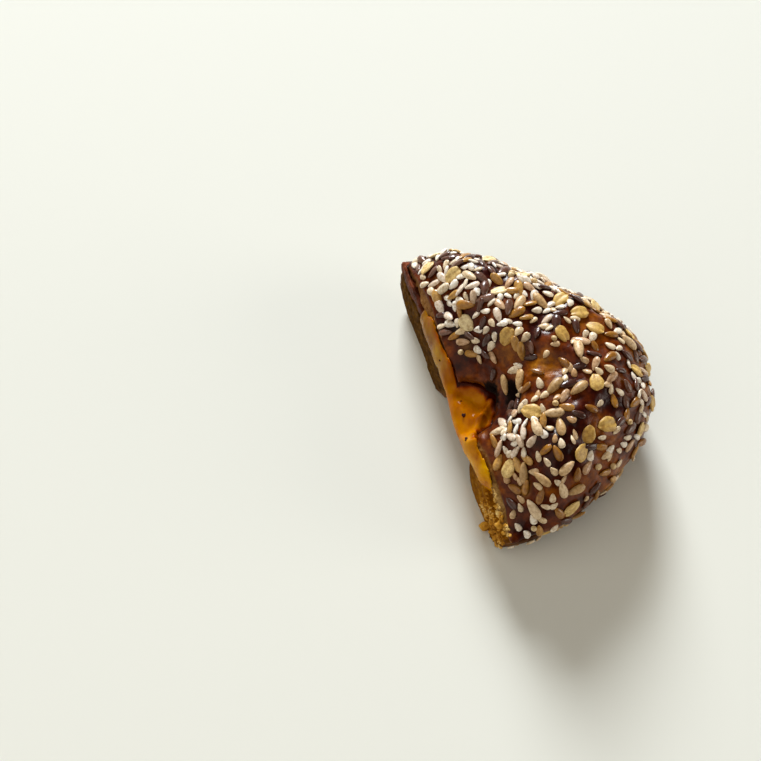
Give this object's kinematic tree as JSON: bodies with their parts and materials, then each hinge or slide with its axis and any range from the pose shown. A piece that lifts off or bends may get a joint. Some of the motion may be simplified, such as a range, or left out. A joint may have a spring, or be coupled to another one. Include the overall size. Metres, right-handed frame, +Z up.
{
  "type": "filled bagel half",
  "caption": "Half of a seeded bagel sandwich with ham and melted cheese, cut through so that bread and filling show.",
  "frame": {"origin": "middle of the bounding box in plan, on the surface that the base bread rests on", "axes": "+Z up, +Y along the cut towards its far end, +X from the cut towards the round outer side"},
  "size_m": [0.0684, 0.1107, 0.0388],
  "materials": {
    "base_bread": "dry baked crust with pale crumb at the cut",
    "ham_slice": "moist, slightly glossy",
    "cheese": "glossy melted cheese",
    "crown_bread": "glossy brown crust set with seeds"
  },
  "bodies": {
    "root": {"base_bread": "base_bread", "ham_slice": "ham_slice", "cheese": "cheese", "crown_bread": "crown_bread"}
  },
  "joints": []
}
